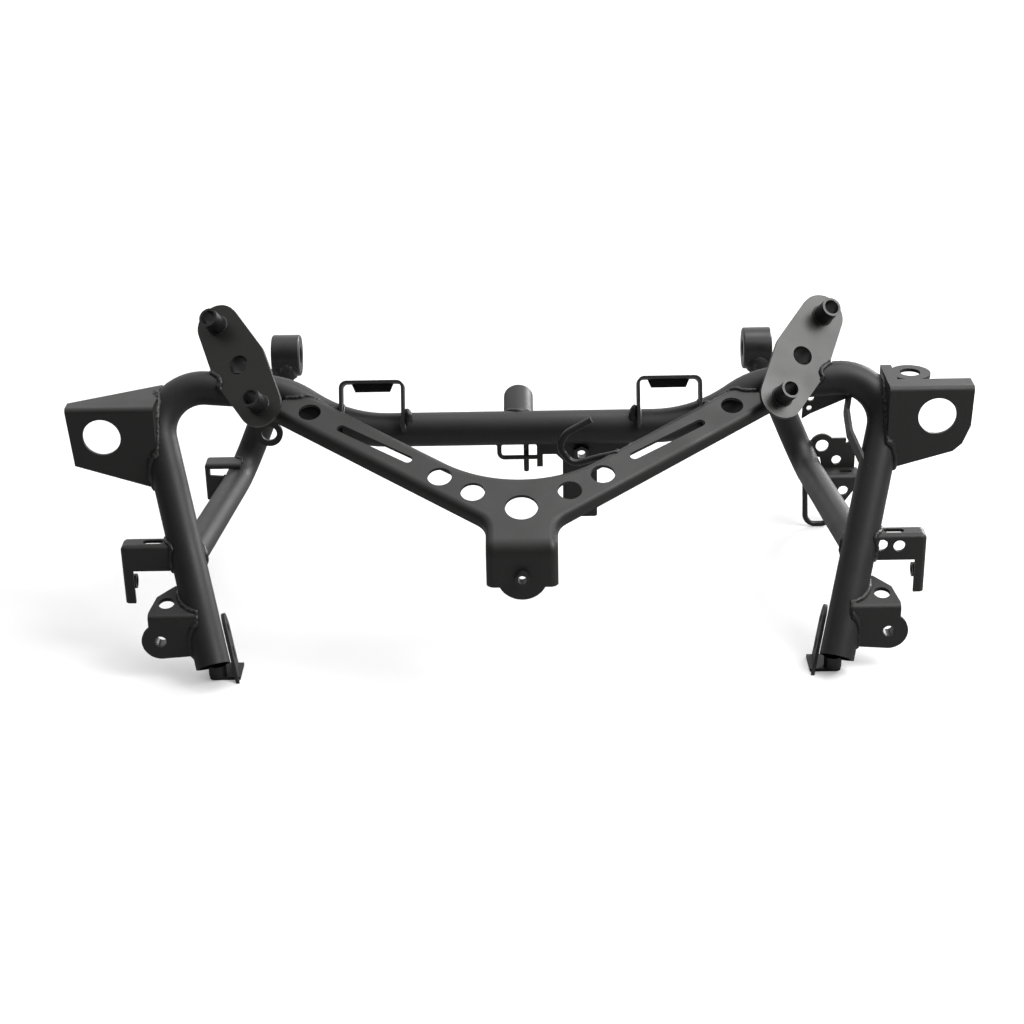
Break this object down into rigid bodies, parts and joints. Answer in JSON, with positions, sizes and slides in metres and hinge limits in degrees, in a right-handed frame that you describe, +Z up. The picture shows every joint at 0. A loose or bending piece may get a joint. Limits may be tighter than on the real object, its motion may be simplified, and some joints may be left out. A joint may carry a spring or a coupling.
{
  "type": "motorcycle fairing stay",
  "caption": "Welded bent-tube stay with a pressed V bracket, mirror plates and side plates, which carries a motorcycle's front fairing, headlamp and mirrors.",
  "frame": {"origin": "on the floor under the middle of the bounding box, the stay standing on its feet", "axes": "+X to the right seen from the front, +Y to the rear of the motorcycle, +Z up"},
  "size_m": [0.6654, 0.3348, 0.2425],
  "materials": {
    "tube": "satin black coating",
    "sheet": "satin black coating",
    "rod": "satin black coating",
    "fastener": "satin black coating"
  },
  "bodies": {
    "root": {"cable_hook": "rod", "ear_plate_right": "sheet", "eye_tab_left": "sheet", "flange_bracket_right": "sheet", "foot_nut_left": "fastener", "foot_nut_right": "fastener", "foot_strap_left": "sheet", "foot_strap_right": "sheet", "guide_loop": "rod", "gusset_right": "sheet", "hanging_plate": "sheet", "hanging_plate_nut": "fastener", "hoop_tube": "tube", "locating_pin": "fastener", "lower_bracket_collar_left": "fastener", "lower_bracket_collar_right": "fastener", "lower_bracket_left": "sheet", "lower_bracket_right": "sheet", "mirror_collar_lower_left": "fastener", "mirror_collar_lower_right": "fastener", "mirror_collar_upper_left": "fastener", "mirror_collar_upper_right": "fastener", "mirror_plate_left": "sheet", "mirror_plate_right": "sheet", "nose_bracket": "sheet", "nose_tab_collar": "fastener", "rear_boss_left": "fastener", "rear_boss_right": "fastener", "rear_bracket_left": "sheet", "rear_tube_left": "tube", "rear_tube_right": "tube", "side_plate_left": "sheet", "side_plate_right": "sheet", "slot_bracket_left": "sheet", "slot_bracket_nut_left": "fastener", "slot_bracket_nut_right": "fastener", "slot_bracket_right": "sheet", "staple_bracket_left": "sheet", "staple_bracket_right": "sheet", "stub_tube": "tube", "wavy_strap_right": "sheet", "wire_guide_right": "rod"}
  },
  "joints": []
}
